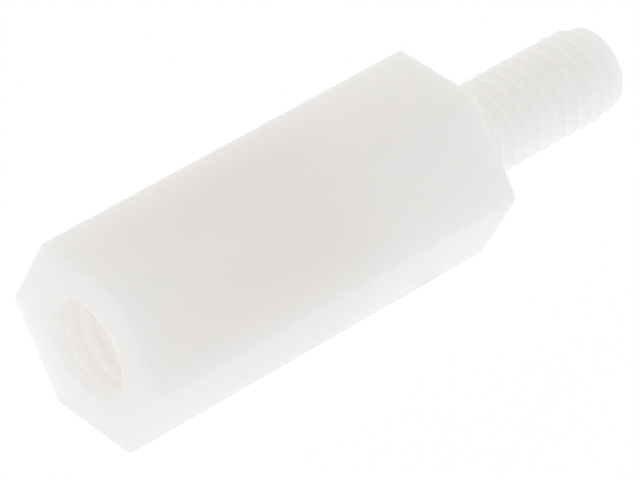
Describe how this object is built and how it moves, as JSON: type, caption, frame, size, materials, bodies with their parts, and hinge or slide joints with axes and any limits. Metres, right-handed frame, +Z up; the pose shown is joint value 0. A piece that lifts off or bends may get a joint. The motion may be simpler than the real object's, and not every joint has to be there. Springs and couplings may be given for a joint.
{
  "type": "threaded hex spacer",
  "caption": "White nylon hexagonal spacer with a threaded bore in one end and a threaded stud on the other, for holding a board off a panel.",
  "frame": {"origin": "on the axis, in the shoulder face that the stud stands on", "axes": "+X along the axis, from the bored end to the stud; +Z up, with the spacer lying on one of its flats"},
  "size_m": [0.019, 0.0064, 0.0056],
  "materials": {
    "nylon": "satin"
  },
  "bodies": {
    "root": {"spacer": "nylon"}
  },
  "joints": []
}
